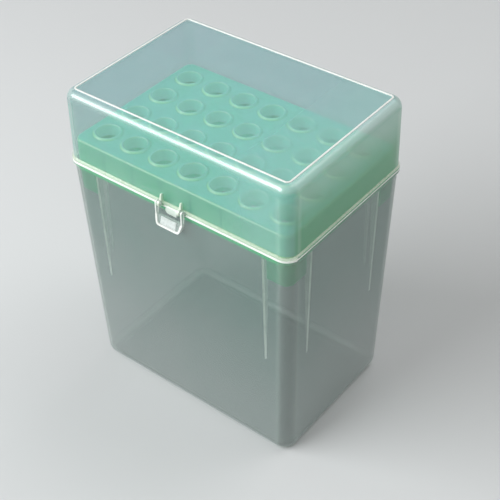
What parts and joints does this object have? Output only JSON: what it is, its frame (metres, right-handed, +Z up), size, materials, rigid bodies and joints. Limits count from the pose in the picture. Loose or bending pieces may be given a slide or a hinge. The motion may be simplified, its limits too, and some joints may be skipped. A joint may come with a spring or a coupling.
{
  "type": "pipette tip box",
  "caption": "Tall hinged box for large pipette tips: tapered clear body, hinged lid with a snap latch, and a green perforated rack that drops in.",
  "frame": {"origin": "centre of the footprint, on the surface the box stands on", "axes": "+X along the box's length, -Y the front with the snap latch, +Y the back with the hinges, +Z up"},
  "size_m": [0.126, 0.0942, 0.16],
  "materials": {
    "clear_body": "satin",
    "clear_lid": "gloss",
    "green_rack": "satin",
    "natural_latch": "satin"
  },
  "bodies": {
    "base": {"box_body": "clear_body", "tip_rack": "green_rack"},
    "lid": {"lid": "clear_lid"},
    "latch": {"snap_latch": "natural_latch"}
  },
  "joints": [
    {"name": "lid_hinge", "type": "hinge", "parent": "base", "child": "lid", "pos_m": [0, 0.0451, 0.124], "axis": [-1, 0, 0], "range_deg": [0, 110]},
    {"name": "latch_pivot", "type": "hinge", "parent": "lid", "child": "latch", "pos_m": [0, -0.04455, 0.125], "axis": [-1, 0, 0], "range_deg": [0, 160]}
  ]
}
